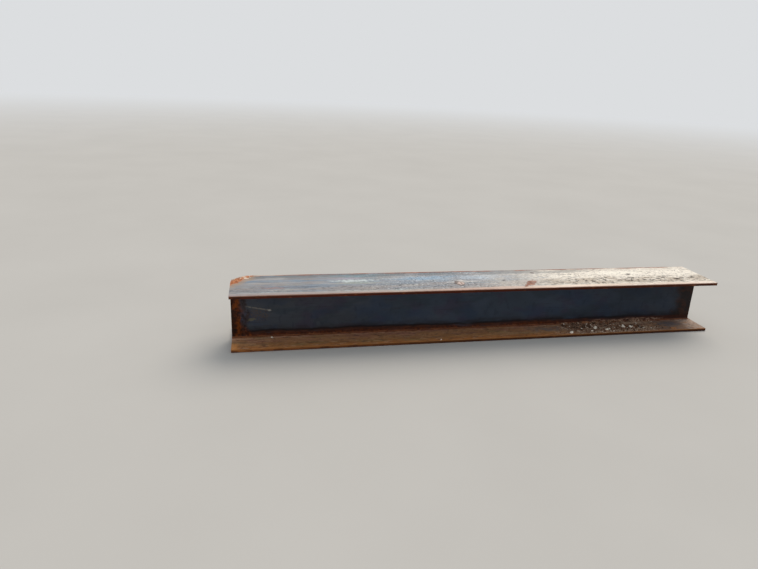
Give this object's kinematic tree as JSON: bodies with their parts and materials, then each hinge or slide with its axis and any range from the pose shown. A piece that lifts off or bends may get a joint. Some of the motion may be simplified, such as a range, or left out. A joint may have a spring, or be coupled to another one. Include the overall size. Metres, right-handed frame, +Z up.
{
  "type": "steel i-beam",
  "caption": "Short length of hot-rolled wide-flange steel beam, one top flange corner bent down and the web trimmed at one end, in rusty mill scale.",
  "frame": {"origin": "on the floor under the middle of the beam, in the plane of the bottom flange's underside", "axes": "+X along the beam's length, from the end with the bent corner to the other; +Y across the flanges, from the side that is open to view to the far side; +Z up, from the bottom flange to the top flange"},
  "size_m": [2.81, 0.312, 0.312],
  "materials": {
    "mill_scale_steel": "blue-grey mill scale, matt, with brown and orange rust"
  },
  "bodies": {
    "root": {"rolled_beam": "mill_scale_steel"}
  },
  "joints": []
}
